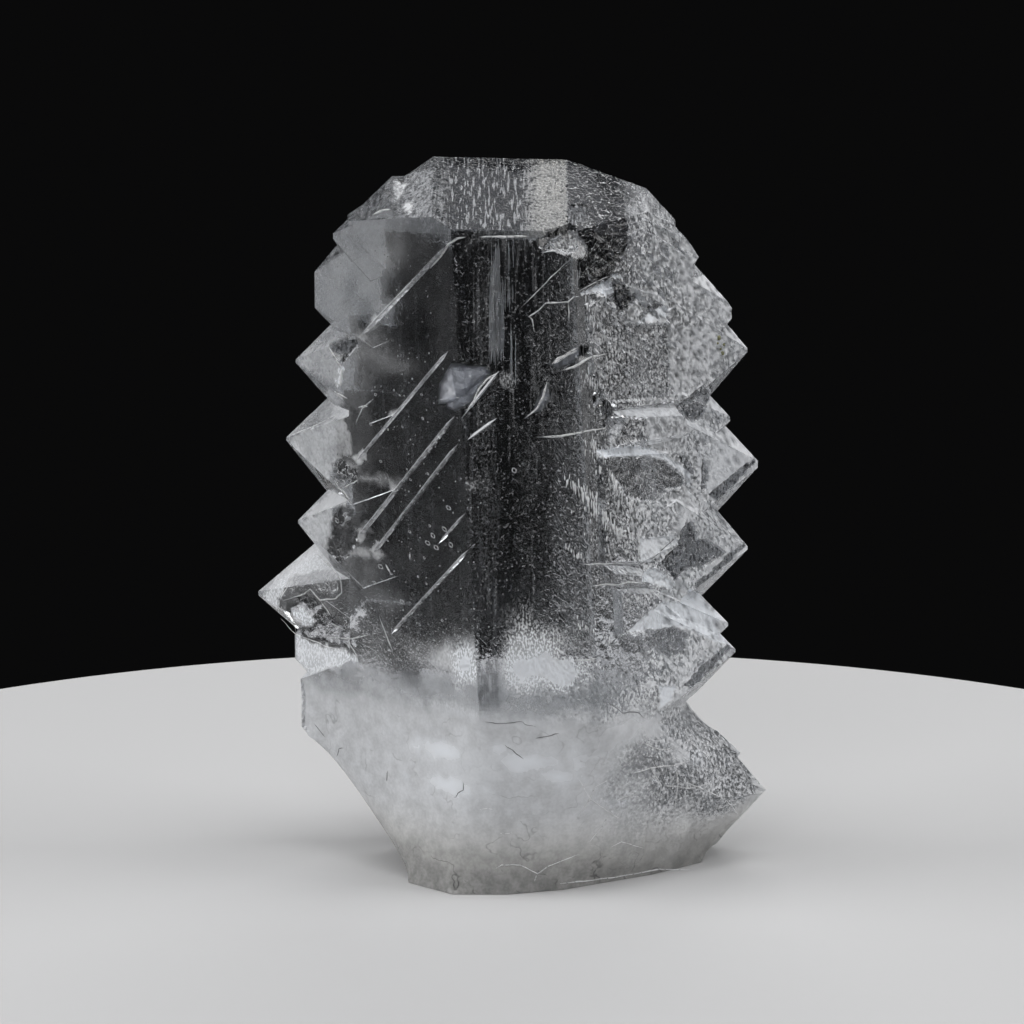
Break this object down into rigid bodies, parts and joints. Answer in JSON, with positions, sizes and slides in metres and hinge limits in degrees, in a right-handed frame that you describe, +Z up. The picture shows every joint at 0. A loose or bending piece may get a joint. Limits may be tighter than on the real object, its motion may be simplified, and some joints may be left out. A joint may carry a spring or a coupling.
{
  "type": "quartz crystal",
  "caption": "Tall clear quartz cluster of parallel doubly terminated crystals, with toothed sides, a flat front window and a milky broken base.",
  "frame": {"origin": "centre of the bounding box, on the flat broken base", "axes": "+Z up from the base to the roof ridge, X along the crystals' long axes with the large pointed base end at +X, -Y out of the flat front window"},
  "size_m": [0.0504, 0.0244, 0.0695],
  "materials": {
    "quartz": "clear and glassy above with etched faces on the right, milky at the base"
  },
  "bodies": {
    "root": {"quartz_crystal": "quartz"}
  },
  "joints": []
}
